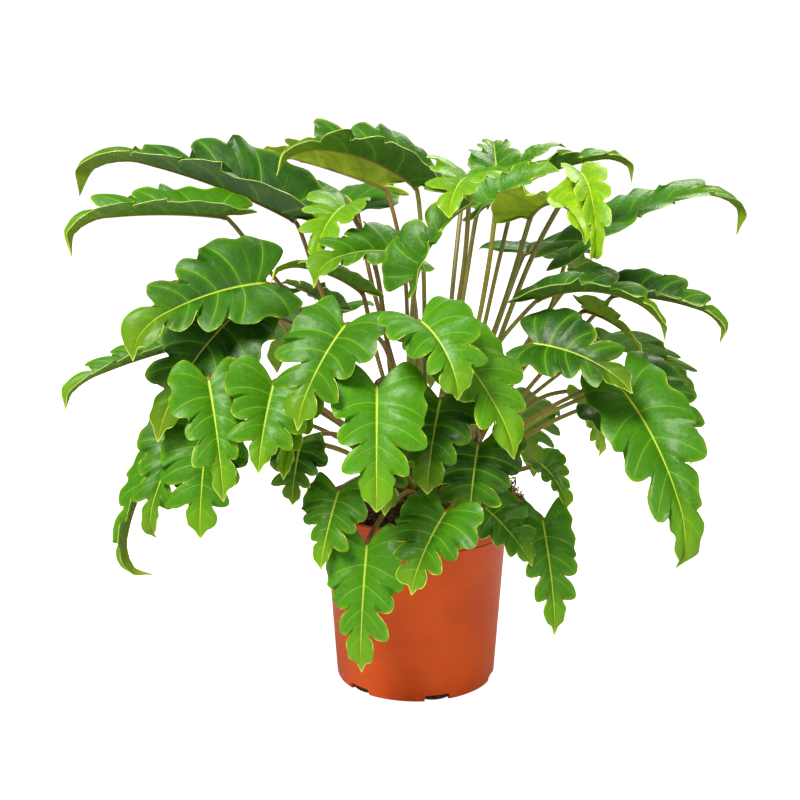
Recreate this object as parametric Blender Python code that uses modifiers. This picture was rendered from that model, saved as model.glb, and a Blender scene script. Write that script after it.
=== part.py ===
"""A potted philodendron: a plastic nursery pot, its root ball, the crown, and leaves that each grow as
one stalk and one lobed blade. Metres, +Z up, the pot's axis on the origin and its foot on z = 0."""

import math

import bmesh
import bpy
import numpy as np
from mathutils.bvhtree import BVHTree

MM = 0.001

# Pot
POT_HEIGHT = 180 * MM
RIM_DIAMETER = 190 * MM
FOOT_DIAMETER = RIM_DIAMETER - 32 * MM
BODY_TOP_DIAMETER = RIM_DIAMETER - 11 * MM
COLLAR_HEIGHT = 27 * MM
COLLAR_FOOT_DIAMETER = RIM_DIAMETER - 5 * MM
LIP_HEIGHT = 4 * MM
LIP_OVERHANG = 1.2 * MM
WALL = 2.4 * MM
FOOT_ROUNDING = 3 * MM
NOTCH_COUNT = 6
NOTCH_START = 15
NOTCH_WIDTH = 25 * MM
NOTCH_HEIGHT = 7 * MM
NOTCH_DEPTH = 12 * MM
NOTCH_TAPER = 0.7

# Root ball and crown
SOIL_BELOW_RIM = 11 * MM
SOIL_MOUND = 6 * MM
CROWN_RADIUS = 50 * MM
CROWN_HEIGHT = 16 * MM
CROWN_X = 14 * MM

# Leaves
STALK_FOOT_DIAMETER = 7.5 * MM
STALK_TOP_DIAMETER = 5 * MM
STALK_RINGS = 5
RIB_THICKNESS = 3 * MM
TIP_THICKNESS = 1.2 * MM
RIB_WIDTH = 0.25
FOOT_DIMPLE = 0.6 * MM
RING_ANGLES = (10, 90, 170, 225, 270, 315)
CROSSED_STRIPS = (1, 4, 5)
STALK_TURN = 45
HEADING_PULL = 1.6
MIDRIB_STEPS = 60
HOOK_START = 0.65
LOBE_VARIATION = 0.14
LOBE_SPREAD = 1.0
PLANT_SPREAD = 1.0

TOUCH_GAP = 0.3 * MM
LEAF_GAP = 1.2 * MM
SETTLE_TRIES = 400
SHIFT_STEP = 5 * MM
BOW_STEP = 14 * MM
TURN_STEP = 5
ROLL_STEP = 7

SOIL_LEVEL = POT_HEIGHT - SOIL_BELOW_RIM
CROWN_TOP = SOIL_LEVEL + SOIL_MOUND + CROWN_HEIGHT

# A blade's outline from its joint to its tip: place on the midrib, reach of the margin along the midrib,
# both in blade lengths, and half the width in blade widths. Lobes and the bays between them take turns.
OUTLINE = (
    (0.030, 0.00, 0.09),
    (0.048, -0.15, 0.29),
    (0.075, -0.04, 0.46),
    (0.115, 0.11, 0.43),
    (0.170, 0.29, 0.50),
    (0.240, 0.35, 0.39),
    (0.320, 0.50, 0.42),
    (0.410, 0.545, 0.28),
    (0.500, 0.68, 0.30),
    (0.610, 0.715, 0.16),
    (0.720, 0.82, 0.145),
    (0.860, 0.91, 0.06),
)

# Each leaf: where its stalk meets its blade (across, away, above the soil, in mm), then the way the blade
# sets out (turn from +X, rise, roll that lowers its left side), its length and width in mm, how far it
# bends down over its length, how far its tip hooks under, and the rise of its two wings from the midrib,
# all in degrees.
LEAVES = (
    ("leaf_left_top_1", (-115, 15, 285), -180, 28, 15, 235, 96, 22, 95, 42),
    ("leaf_left_top_2", (-175, -40, 295), -165, 8, 10, 165, 62, 20, 100, 38),
    ("leaf_left_mid_1", (-135, -80, 240), -150, 0, 45, 155, 95, 35, 60, 12),
    ("leaf_left_mid_2", (-210, -60, 180), -160, -10, 10, 135, 50, 15, 60, 35),
    ("leaf_left_mid_3", (-155, -75, 205), -155, -35, 30, 145, 95, 35, 10, 8),
    ("leaf_left_low_1", (-185, -150, 170), -70, -55, 0, 110, 66, 25, 10, 12),
    ("leaf_left_low_2", (-190, -105, 110), -100, -60, 0, 100, 88, 20, 15, 10),
    ("leaf_left_low_3", (-215, -80, 110), -115, -50, 10, 115, 66, 30, 60, 14),
    ("leaf_left_low_4", (-225, -50, 85), -160, -40, 10, 160, 40, 60, 80, 35),
    ("leaf_left_low_5", (-105, -105, 100), -115, -60, 10, 60, 52, 20, 10, 10),
    ("leaf_left_back_2", (-80, 60, 190), 180, 40, -25, 65, 62, 20, 30, 15),
    ("leaf_front_1", (-125, -150, 165), -105, -45, 25, 85, 78, 25, 10, 12),
    ("leaf_front_2", (-100, -130, 150), -125, -50, 40, 90, 44, 20, 20, 40),
    ("leaf_front_3", (-60, -175, 220), -130, -35, 15, 105, 86, 30, 20, 12),
    ("leaf_front_4", (-35, -205, 175), -90, -50, 5, 110, 84, 30, 20, 10),
    ("leaf_front_5", (-70, -125, 60), -120, -55, 5, 75, 66, 15, 10, 6),
    ("leaf_front_6", (-45, -140, 15), -105, -70, 0, 120, 68, 15, 20, 8),
    ("leaf_front_7", (25, -190, 60), -135, -40, 10, 80, 84, 30, 10, 14),
    ("leaf_front_8", (50, -160, 110), -110, -60, 0, 75, 84, 20, 10, 10),
    ("leaf_front_9", (60, -115, 40), -25, -35, -20, 70, 62, 20, 10, 10),
    ("leaf_front_10", (0, -190, 225), -55, -15, -10, 85, 82, 60, 20, 12),
    ("leaf_front_11", (20, -165, 210), -40, -35, -10, 120, 90, 25, 20, 8),
    ("leaf_front_12", (20, -150, 150), -105, -40, 0, 90, 84, 30, 15, 10),
    ("leaf_front_13", (-15, -135, 130), -105, -60, 5, 90, 66, 20, 10, 8),
    ("leaf_front_14", (0, -130, 245), 15, 70, -35, 95, 62, 50, 20, 35),
    ("leaf_right_low_1", (115, -100, 25), -75, -55, 0, 110, 58, 25, 15, 10),
    ("leaf_right_low_2", (115, -60, 65), -55, -15, -10, 55, 42, 50, 20, 25),
    ("leaf_right_mid_1", (185, -90, 145), -62, -28, -25, 190, 78, 48, 60, 10),
    ("leaf_right_mid_2", (205, -50, 150), -35, -25, -20, 105, 66, 50, 30, 10),
    ("leaf_right_mid_3", (165, -50, 120), -20, -25, -20, 75, 62, 25, 10, 10),
    ("leaf_right_mid_4", (160, 10, 120), -25, -50, -10, 70, 66, 40, 10, 10),
    ("leaf_right_mid_5", (100, -110, 190), -25, 0, -35, 105, 76, 40, 10, 10),
    ("leaf_right_mid_6", (155, -50, 210), -30, -10, 30, 70, 52, 40, 10, 15),
    ("leaf_right_top_1", (150, 40, 254), 5, 36, -12, 210, 72, 42, 120, 12),
    ("leaf_right_top_2", (185, -25, 220), -20, 5, -10, 125, 66, 35, 90, 30),
    ("leaf_right_top_3", (115, -65, 230), -30, 15, -10, 140, 62, 75, 40, 25),
    ("leaf_right_top_4", (155, 70, 225), 10, -5, 20, 65, 62, 20, 20, 15),
    ("leaf_top_1", (-30, 90, 310), 170, 20, -25, 145, 82, 10, 10, 20),
    ("leaf_top_2", (0, -25, 320), -165, 40, 12, 150, 84, 55, 60, 42),
    ("leaf_top_3", (-65, -30, 305), -115, -5, 10, 85, 56, 60, 20, 20),
    ("leaf_top_4", (-10, -50, 260), -140, 20, 30, 120, 70, 45, 60, 14),
    ("leaf_top_5", (-45, -70, 235), -160, 40, 0, 100, 36, 45, 70, 35),
    ("leaf_top_6", (45, -100, 335), -110, 10, 10, 70, 66, 70, 20, 20),
    ("leaf_top_7", (100, -60, 290), -60, 45, -10, 100, 84, 120, 10, 25),
    ("leaf_top_8", (140, -60, 335), -80, -5, -10, 120, 36, 90, 90, 25),
    ("leaf_top_9", (95, 0, 320), -10, 30, 0, 125, 56, 35, 100, 25),
    ("leaf_top_10", (55, -40, 300), -5, 40, -30, 85, 72, 25, 10, 30),
    ("leaf_top_11", (80, 60, 315), 90, 40, 0, 100, 56, 30, 20, 15),
    ("leaf_top_13", (85, 90, 315), 30, 40, 0, 90, 58, 25, 40, 15),
    ("leaf_back_1", (-160, 125, 195), 145, 5, -15, 175, 108, 40, 50, 18),
    ("leaf_back_2", (-95, 165, 165), 120, -10, 0, 160, 110, 40, 30, 12),
    ("leaf_back_3", (10, 190, 145), 85, -10, 0, 165, 112, 45, 30, 14),
    ("leaf_back_4", (115, 155, 235), 55, 5, 10, 160, 106, 45, 50, 16),
    ("leaf_back_5", (185, 95, 150), 25, -10, 10, 150, 102, 40, 40, 14),
    ("leaf_back_6", (-60, 145, 280), 105, 20, 0, 160, 104, 45, 50, 20),
    ("leaf_back_7", (95, 145, 80), 60, -35, 0, 140, 98, 30, 20, 10),
    ("leaf_back_8", (50, 150, 300), 75, 15, 5, 145, 98, 45, 50, 18),
)


def clear_scene():
    for obj in list(bpy.data.objects):
        bpy.data.objects.remove(obj)


def new_collection(name):
    made = bpy.data.collections.new(name)
    bpy.context.scene.collection.children.link(made)
    return made


def srgb(code):
    """Linear RGBA for a colour written as six hexadecimal digits."""
    parts = [int(code[i : i + 2], 16) / 255 for i in (0, 2, 4)]
    linear = [c / 12.92 if c <= 0.04045 else ((c + 0.055) / 1.055) ** 2.4 for c in parts]
    return (*linear, 1)


def material(name, colour, roughness):
    made = bpy.data.materials.new(name)
    made.use_nodes = True
    shader = made.node_tree.nodes["Principled BSDF"]
    shader.inputs["Base Color"].default_value = srgb(colour)
    shader.inputs["Roughness"].default_value = roughness
    shader.inputs["Metallic"].default_value = 0
    return made


def put(obj, collection, surface=None):
    for old in list(obj.users_collection):
        old.objects.unlink(obj)
    collection.objects.link(obj)
    if surface:
        obj.data.materials.append(surface)
    return obj


def turned(name, profile, steps):
    """A solid of revolution about Z from (radius, height) points that run down its outer side."""
    mesh = bpy.data.meshes.new(name)
    edges = [(i, i + 1) for i in range(len(profile) - 1)]
    mesh.from_pydata([(r, 0, z) for r, z in profile], edges, [])
    obj = bpy.data.objects.new(name, mesh)
    screw = obj.modifiers.new("turn", "SCREW")
    screw.steps = steps
    screw.render_steps = steps
    screw.use_merge_vertices = True
    screw.merge_threshold = 0.0001
    screw.use_smooth_shade = True
    return obj


def body_radius(z):
    """The pot's outer radius below its collar, at height z."""
    share = z / (POT_HEIGHT - COLLAR_HEIGHT)
    return (FOOT_DIAMETER + share * (BODY_TOP_DIAMETER - FOOT_DIAMETER)) / 2


def collar_radius(z):
    """The collar's outer radius at height z."""
    share = (z - POT_HEIGHT + COLLAR_HEIGHT) / COLLAR_HEIGHT
    return (COLLAR_FOOT_DIAMETER + share * (RIM_DIAMETER - COLLAR_FOOT_DIAMETER)) / 2 - LIP_OVERHANG


def inner_radius(z):
    """The radius of the pot's hollow at height z."""
    ledge = POT_HEIGHT - COLLAR_HEIGHT
    return (body_radius(z) if z < ledge else collar_radius(z)) - WALL


def pot_profile():
    ledge = POT_HEIGHT - COLLAR_HEIGHT
    rim = RIM_DIAMETER / 2
    lip = POT_HEIGHT - LIP_HEIGHT
    corner = FOOT_ROUNDING
    outer = [
        (rim - WALL, POT_HEIGHT),
        (rim - 0.8 * MM, POT_HEIGHT),
        (rim, POT_HEIGHT - 1.2 * MM),
        (rim, lip + 0.8 * MM),
        (collar_radius(lip), lip - 0.4 * MM),
        (collar_radius(ledge), ledge),
        (body_radius(ledge), ledge - 0.4 * MM),
        (body_radius(corner), corner),
        (body_radius(0) - 0.3 * corner, 0.3 * corner),
        (body_radius(0) - corner, 0),
    ]
    inner = [
        (0, 0),
        (0, WALL),
        (inner_radius(WALL) - corner, WALL),
        (inner_radius(corner + WALL), corner + WALL),
        (inner_radius(ledge - WALL), ledge - WALL),
        (inner_radius(ledge), ledge + 0.4 * MM),
    ]
    return outer + inner + [outer[0]]


def notch_cutter(collection):
    """A tapered block across the pot's foot for each notch, as one object."""
    shape = bmesh.new()
    for i in range(NOTCH_COUNT):
        angle = math.radians(NOTCH_START + 360 / NOTCH_COUNT * i - 90)
        block = bmesh.ops.create_cube(shape, size=1)["verts"]
        for v in block:
            narrow = NOTCH_TAPER if v.co.z > 0 else 1.0
            radial = FOOT_DIAMETER / 2 - NOTCH_DEPTH / 3 + v.co.x * NOTCH_DEPTH
            across = v.co.y * NOTCH_WIDTH * narrow
            v.co.x, v.co.y = (
                radial * math.cos(angle) - across * math.sin(angle),
                radial * math.sin(angle) + across * math.cos(angle),
            )
            v.co.z = NOTCH_HEIGHT if v.co.z > 0 else -NOTCH_HEIGHT
    mesh = bpy.data.meshes.new("notches")
    shape.to_mesh(mesh)
    shape.free()
    cutter = put(bpy.data.objects.new("notches", mesh), collection)
    cutter.hide_render = True
    cutter.display_type = "WIRE"
    return cutter


def make_pot(parts, cutters):
    pot = put(turned("pot", pot_profile(), 64), parts, material("terracotta plastic", "C4562E", 0.38))
    cut = pot.modifiers.new("notches", "BOOLEAN")
    cut.object = notch_cutter(cutters)
    cut.solver = "EXACT"
    return pot


def make_soil(parts):
    """The root ball, a plug that fills the pot to just below its rim and is mounded at the middle."""
    foot = WALL + TOUCH_GAP
    slack = body_radius(SOIL_LEVEL) - WALL - TOUCH_GAP
    corner = FOOT_ROUNDING + WALL
    profile = [
        (0, SOIL_LEVEL + SOIL_MOUND),
        (CROWN_RADIUS + CROWN_X + 3 * MM, SOIL_LEVEL + SOIL_MOUND),
        (slack - 5 * MM, SOIL_LEVEL + 2 * MM),
        (slack, SOIL_LEVEL - 3 * MM),
        (inner_radius(corner) - TOUCH_GAP, corner + TOUCH_GAP),
        (inner_radius(foot) - corner, foot),
        (0, foot),
    ]
    return put(turned("soil", profile, 40), parts, material("peat soil", "2A1A12", 0.95))


def make_crown(parts):
    """The short stump of stems that every leaf stalk grows from."""
    foot = SOIL_LEVEL + SOIL_MOUND + TOUCH_GAP
    profile = [
        (0, CROWN_TOP),
        (CROWN_RADIUS - 4 * MM, CROWN_TOP),
        (CROWN_RADIUS, CROWN_TOP - 5 * MM),
        (CROWN_RADIUS, foot),
        (0, foot),
    ]
    crown = put(turned("crown", profile, 32), parts, material("stem bark", "5A4528", 0.8))
    crown.location.x = CROWN_X
    return crown


def unit(v):
    v = np.asarray(v, float)
    return v / np.linalg.norm(v)


def turn(v, axis, degrees):
    """v turned about a unit axis."""
    a = math.radians(degrees)
    return v * math.cos(a) + np.cross(axis, v) * math.sin(a) + axis * np.dot(axis, v) * (1 - math.cos(a))


def midrib(joint, heading, rise, length, bend, hook):
    """A function that gives the place and direction at any share of the midrib, as it bends down."""
    flat = np.array([math.cos(math.radians(heading)), math.sin(math.radians(heading)), 0])
    at = np.array(joint, float)
    places, ways = [at], []
    for i in range(MIDRIB_STEPS + 1):
        s = i / MIDRIB_STEPS
        angle = math.radians(rise - bend * s - hook * max(0, (s - HOOK_START) / (1 - HOOK_START)) ** 1.5)
        way = flat * math.cos(angle) + np.array([0, 0, math.sin(angle)])
        ways.append(way)
        at = at + way * length / MIDRIB_STEPS
        places.append(at)

    def along(s):
        i = min(int(s * MIDRIB_STEPS), MIDRIB_STEPS - 1)
        rest = s * MIDRIB_STEPS - i
        return places[i] + (places[i + 1] - places[i]) * rest, ways[i]

    return along


def blade_midrib(leaf):
    return midrib(leaf["joint"], leaf["heading"], leaf["rise"], leaf["length"], leaf["bend"], leaf["hook"])


def blade_rings(leaf, side_start, grow):
    """The blade's six-point rings: left margin, top of the rib, right margin, and three points below it."""
    along = blade_midrib(leaf)
    fold = math.radians(leaf["fold"])
    rings = []
    for k, (share, reach, half) in enumerate(OUTLINE):
        place, way = along(share)
        left = unit(side_start - way * np.dot(side_start, way))
        up = np.cross(way, left)
        thick = (RIB_THICKNESS + (TIP_THICKNESS - RIB_THICKNESS) * share) / 2 + grow
        margins, low = [], []
        for sign in (1, -1):
            wide = leaf["width"] * half * leaf["lean"][sign][k] * LOBE_SPREAD + grow
            out = left * sign * math.cos(fold) * wide + up * math.sin(fold) * wide
            margins.append(place + way * (reach - share) * leaf["length"] + out)
            low.append(place + out * RIB_WIDTH - up * thick * 0.8)
        rings.append([margins[0], place + up * thick, margins[1], low[1], place - up * thick, low[0]])
    tip, way = along(1.0)
    return rings, tip + way * grow


def stalk_rings(leaf, side_start, grow):
    """The stalk's rings, from its foot on the crown to just under the blade, turned to meet the blade."""
    foot, joint = leaf["foot"], leaf["joint"]
    gap = np.linalg.norm(joint - foot)
    outward = joint - foot
    outward[2] = 0
    outward = unit(outward + 1e-6)
    flat = np.array([math.cos(math.radians(leaf["heading"])), math.sin(math.radians(leaf["heading"])), 0])
    rise = math.radians(max(-40, min(80, leaf["rise"] + STALK_TURN)))
    arrive = unit(outward + flat * HEADING_PULL) * math.cos(rise) + np.array([0, 0, math.sin(rise)])
    leave = unit(outward * leaf["lean_out"] + np.array([0, 0, 1.0]))
    leave_to = foot + leave * gap * 0.4
    arrive_from = joint - arrive * gap * 0.33 + leaf["bow"]
    blade_way = blade_midrib(leaf)(0)[1]
    rings = []
    for i in range(STALK_RINGS):
        t = i / (STALK_RINGS - 1) * (1 - 1.5 * MM / gap)
        u = 1 - t
        place = foot * u**3 + leave_to * 3 * u * u * t + arrive_from * 3 * u * t * t + joint * t**3
        way = unit(
            (leave_to - foot) * u * u + (arrive_from - leave_to) * 2 * u * t + (joint - arrive_from) * t * t
        )
        if i == STALK_RINGS - 1:
            way = unit(way + blade_way)
        axis = np.cross(blade_way, way)
        swing = math.degrees(math.atan2(np.linalg.norm(axis), np.dot(blade_way, way)))
        left = turn(side_start, unit(axis + 1e-9), swing)
        up = np.cross(way, left)
        if i == 0:
            left = unit([left[0], left[1], 0])
            up = np.cross(np.array([0, 0, 1.0]), left)
        r = (STALK_FOOT_DIAMETER + (STALK_TOP_DIAMETER - STALK_FOOT_DIAMETER) * t) / 2 + grow
        sixths = [math.radians(a) for a in RING_ANGLES]
        rings.append([place + left * r * math.cos(a) + up * r * math.sin(a) for a in sixths])
    return rings


def leaf_shape(leaf, grow=0.0):
    """Points and faces of one leaf, as a loft from the stalk's foot to the blade's tip."""
    way = blade_midrib(leaf)(0)[1]
    level = unit([-math.sin(math.radians(leaf["heading"])), math.cos(math.radians(leaf["heading"])), 0])
    side_start = turn(level, way, -leaf["roll"])
    blades, tip = blade_rings(leaf, side_start, grow)
    rings = stalk_rings(leaf, side_start, grow) + blades
    points = [leaf["foot"] + np.array([0, 0, FOOT_DIMPLE])]
    for ring in rings:
        points += ring
    points.append(tip)
    n, last = 6, len(points) - 1
    faces = [(0, 1 + (i + 1) % n, 1 + i) for i in range(n)]
    for k in range(len(rings) - 1):
        a, b = 1 + k * n, 1 + (k + 1) * n
        for i in range(n):
            j = (i + 1) % n
            if i in CROSSED_STRIPS:
                faces += [(a + i, a + j, b + i), (a + j, b + j, b + i)]
            else:
                faces += [(a + i, a + j, b + j), (a + i, b + j, b + i)]
    start = 1 + (len(rings) - 1) * n
    faces += [(start + i, start + (i + 1) % n, last) for i in range(n)]
    return points, faces


def evaluated_tree(objects):
    """A search tree over the finished surfaces of these objects."""
    points, faces = [], []
    graph = bpy.context.evaluated_depsgraph_get()
    for obj in objects:
        mesh = obj.evaluated_get(graph).to_mesh()
        start = len(points)
        points += [obj.matrix_world @ v.co for v in mesh.vertices]
        faces += [[start + i for i in p.vertices] for p in mesh.polygons]
    return BVHTree.FromPolygons(points, faces)


def search_tree(leaf, grow=0.0):
    points, faces = leaf_shape(leaf, grow)
    return BVHTree.FromPolygons([tuple(p) for p in points], faces), faces


def crosses_itself(leaf):
    tree, faces = search_tree(leaf)
    return any(not set(faces[a]) & set(faces[b]) for a, b in tree.overlap(tree))


def touches(leaf, trees):
    """Whether a leaf comes within the leaf gap of anything already there."""
    tree, _ = search_tree(leaf, LEAF_GAP)
    return any(tree.overlap(other) for other in trees)


def crown_feet(count):
    """Places for the stalks' feet on the crown, spaced like a sunflower's seeds."""
    reach = CROWN_RADIUS - 4 * MM - STALK_FOOT_DIAMETER / 2
    golden = math.pi * (3 - math.sqrt(5))
    feet = []
    for i in range(count):
        r = reach * math.sqrt((i + 0.5) / count)
        x = CROWN_X + r * math.cos(i * golden)
        feet.append(np.array([x, r * math.sin(i * golden), CROWN_TOP + TOUCH_GAP]))
    return feet


def give_feet(leaves):
    """Each leaf takes a free foot on its own side of the crown: low and wide leaves the outer ones."""
    feet = crown_feet(len(leaves))
    centre = np.array([CROWN_X, 0, CROWN_TOP])

    def steepness(leaf):
        way = leaf["joint"] - centre
        return way[2] / (math.hypot(way[0], way[1]) + 1e-6)

    for leaf in sorted(leaves, key=steepness):
        way = unit((leaf["joint"] - centre) * [1, 1, 0])

        def worth(foot, way=way):
            return np.dot(foot - centre, way)

        best = max(feet, key=worth)
        leaf["foot"] = best
        leaf["lean_out"] = 0.25 + 0.5 / (1 + max(0.0, steepness(leaf)))
        feet = [f for f in feet if f is not best]


def leaf_from_row(row, chance):
    name, joint, heading, rise, roll, length, width, bend, hook, fold = row
    across, away, above = joint
    place = [across * PLANT_SPREAD, away * PLANT_SPREAD, above]
    return {
        "name": name,
        "joint": np.array(place) * MM + np.array([0, 0, SOIL_LEVEL]),
        "heading": heading,
        "rise": rise,
        "roll": roll,
        "length": length * MM,
        "width": width * MM,
        "bend": bend,
        "hook": hook,
        "fold": fold,
        "lean": {sign: 1 + chance.uniform(-LOBE_VARIATION, LOBE_VARIATION, len(OUTLINE)) for sign in (1, -1)},
        "bow": np.zeros(3),
    }


def settle(leaf, trees, chance):
    """Shifts a leaf's joint, turn and stalk a little at a time until it clears everything already there."""
    start = dict(leaf)
    for attempt in range(SETTLE_TRIES):
        if not crosses_itself(leaf) and not touches(leaf, trees):
            return True
        amount = 0.15 + attempt / 200
        leaf["joint"] = start["joint"] + chance.normal(0, SHIFT_STEP, 3) * amount
        leaf["bow"] = chance.normal(0, BOW_STEP, 3) * amount
        leaf["heading"] = start["heading"] + chance.normal(0, TURN_STEP) * amount
        leaf["rise"] = start["rise"] + chance.normal(0, TURN_STEP) * amount
        leaf["roll"] = start["roll"] + chance.normal(0, ROLL_STEP) * amount
    return False


def make_leaves(parts, standing):
    chance = np.random.default_rng(7)
    leaves = [leaf_from_row(row, chance) for row in LEAVES]
    give_feet(leaves)
    trees = [evaluated_tree(standing)]
    skin = material("leaf", "3F8F22", 0.35)
    for leaf in leaves:
        if not settle(leaf, trees, chance):
            print("still touching:", leaf["name"])
        points, faces = leaf_shape(leaf)
        mesh = bpy.data.meshes.new(leaf["name"])
        mesh.from_pydata([tuple(p) for p in points], [], faces)
        mesh.shade_smooth()
        put(bpy.data.objects.new(leaf["name"], mesh), parts, skin)
        trees.append(search_tree(leaf)[0])


def main():
    clear_scene()
    parts = new_collection("potted philodendron")
    cutters = new_collection("cutters")
    cutters.hide_render = True
    pot = make_pot(parts, cutters)
    soil = make_soil(parts)
    crown = make_crown(parts)
    bpy.context.view_layer.update()
    make_leaves(parts, [pot, soil, crown])


main()
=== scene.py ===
"""The looks of a potted philodendron: glossy lobed leaves on long stalks, over a fibrous crown and a
peat root ball in a plastic nursery pot, on a pale studio floor."""

import math

import bpy
import numpy as np
from mathutils import Euler, Matrix, Vector


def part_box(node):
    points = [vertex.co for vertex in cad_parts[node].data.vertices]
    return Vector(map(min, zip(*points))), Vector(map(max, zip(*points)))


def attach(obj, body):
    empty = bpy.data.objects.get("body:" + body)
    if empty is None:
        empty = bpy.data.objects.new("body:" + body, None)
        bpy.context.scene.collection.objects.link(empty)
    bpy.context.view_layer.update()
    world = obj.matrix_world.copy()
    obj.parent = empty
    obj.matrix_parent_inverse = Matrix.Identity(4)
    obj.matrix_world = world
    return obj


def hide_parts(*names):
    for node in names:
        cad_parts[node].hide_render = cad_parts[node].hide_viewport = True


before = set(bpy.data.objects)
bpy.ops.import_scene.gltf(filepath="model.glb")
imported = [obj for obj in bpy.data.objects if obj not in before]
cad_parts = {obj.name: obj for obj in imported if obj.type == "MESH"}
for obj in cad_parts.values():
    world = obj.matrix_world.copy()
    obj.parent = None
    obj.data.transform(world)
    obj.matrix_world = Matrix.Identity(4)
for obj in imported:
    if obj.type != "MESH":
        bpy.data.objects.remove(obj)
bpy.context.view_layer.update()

MM = 0.001

# Kinds of node that more than one material uses
TEXTURE_PLACE = "ShaderNodeTexCoord"
ATTRIBUTE = "ShaderNodeAttribute"
SEPARATE = "ShaderNodeSeparateXYZ"
NOISE = "ShaderNodeTexNoise"
RANGE = "ShaderNodeMapRange"
MATHS = "ShaderNodeMath"
MIX = "ShaderNodeMix"
BUMP = "ShaderNodeBump"

# Leaf blades: rows of faces between two rings of the node, and faces from the rib to either edge
ROWS_A_RING = 9
STEPS_A_SIDE = 11
BLADE_THICKNESS = 0.55 * MM
LOBE_RINGS = (3, 5, 7, 9, 11)
BAY_RINGS = (4, 6, 8, 10, 12)
# How much of each bay is filled, and how far each ring reaches from the rib as a share of the node's.
BAY_FILL = {4: (0.7, 1.0), 6: (0.2, 1.0)}
LOBE_REACH = {
    6: (0.82, 1.0),
    7: (0.9, 1.1),
    8: (0.55, 0.9),
    9: (0.85, 1.3),
    10: (0.6, 1.15),
    11: (0.85, 1.4),
    12: (0.95, 1.5),
}
CURLED_BAYS = (6, 8, 10)
LEAF_CREASE = math.radians(50)

# Petioles
PETIOLE_ROWS = 30
PETIOLE_SIDES = 10
FOOT_DEPTH = 4 * MM

# Pot
COLLAR_HEIGHT = 27 * MM
BODY_INSET = 5.5 * MM
FOOT_INSET = 16 * MM
WALL = 2.4 * MM
NOTCH_COUNT = 6
NOTCH_START = 15
POT_STEPS = 144

# Soil and fibres
SOIL_STEPS = 120
SHOULDER_DROP = 6 * MM
FIBRE_ROWS = 9
GOLDEN_TURN = 2.39996
SEAM_GAP = 1e-6
PIECE_CREASE = math.radians(38)
COIR_CREASE = math.radians(60)

# Camera
CAMERA_PLACE = (-0.0158, -1.397, 0.607)
CAMERA_DIP = 13.1
CAMERA_LENS = 66.2

# How old each leaf looks, from 0, dark and mature, to 1, young and yellow-green. The rest lie between.
LEAF_AGE = {
    "leaf_left_top_1": 0.08,
    "leaf_left_top_2": 0.34,
    "leaf_left_mid_1": 0.2,
    "leaf_left_mid_2": 0.36,
    "leaf_left_mid_3": 0.12,
    "leaf_left_low_1": 0.42,
    "leaf_left_low_2": 0.4,
    "leaf_left_low_3": 0.3,
    "leaf_left_low_5": 0.15,
    "leaf_left_back_2": 0.05,
    "leaf_front_1": 0.45,
    "leaf_front_2": 0.7,
    "leaf_front_3": 0.3,
    "leaf_front_4": 0.55,
    "leaf_front_5": 0.4,
    "leaf_front_6": 0.5,
    "leaf_front_8": 0.12,
    "leaf_front_9": 0.36,
    "leaf_front_11": 0.62,
    "leaf_front_12": 0.15,
    "leaf_front_13": 0.05,
    "leaf_right_low_1": 0.34,
    "leaf_right_mid_1": 0.36,
    "leaf_right_mid_2": 0.15,
    "leaf_right_mid_3": 0.3,
    "leaf_right_mid_4": 0.95,
    "leaf_right_mid_5": 0.1,
    "leaf_right_mid_6": 0.75,
    "leaf_right_top_1": 0.3,
    "leaf_right_top_2": 0.08,
    "leaf_right_top_3": 0.24,
    "leaf_top_1": 0.95,
    "leaf_top_2": 0.22,
    "leaf_top_3": 0.7,
    "leaf_top_6": 0.7,
    "leaf_top_7": 0.88,
    "leaf_top_8": 0.8,
    "leaf_top_9": 0.26,
}


# ---------------------------------------------------------------- small helpers


def srgb(code):
    """Linear RGBA for a colour written as six hexadecimal digits."""
    parts = [int(code[i : i + 2], 16) / 255 for i in (0, 2, 4)]
    linear = [c / 12.92 if c <= 0.04045 else ((c + 0.055) / 1.055) ** 2.4 for c in parts]
    return (*linear, 1)


def deselect():
    for obj in bpy.context.selected_objects:
        obj.select_set(False)


def choose(obj):
    deselect()
    obj.select_set(True)
    bpy.context.view_layer.objects.active = obj
    return obj


def unit(v):
    v = np.asarray(v, float)
    return v / np.maximum(np.linalg.norm(v, axis=-1, keepdims=True), 1e-12)


def apply_modifiers(obj):
    choose(obj)
    for modifier in list(obj.modifiers):
        bpy.ops.object.modifier_apply(modifier=modifier.name)
    return obj


# ---------------------------------------------------------------- materials


def node(tree, kind, links=(), **settings):
    """Adds a node with its settings, and values or sockets for its inputs, by name or in their order."""
    made = tree.nodes.new(kind)
    for key, value in settings.items():
        setattr(made, key, value)
    for key, value in links.items() if isinstance(links, dict) else enumerate(links):
        socket = made.inputs[key]
        if isinstance(value, bpy.types.NodeSocket):
            tree.links.new(value, socket)
        else:
            socket.default_value = value
    return made.outputs


def new_material(name, **constants):
    """A material with its Principled shader's own sockets set."""
    made = bpy.data.materials.new(name)
    made.use_nodes = True
    tree = made.node_tree
    shader = tree.nodes["Principled BSDF"]
    for key, value in constants.items():
        shader.inputs[key.replace("_", " ")].default_value = value
    return made, tree, shader


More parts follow.
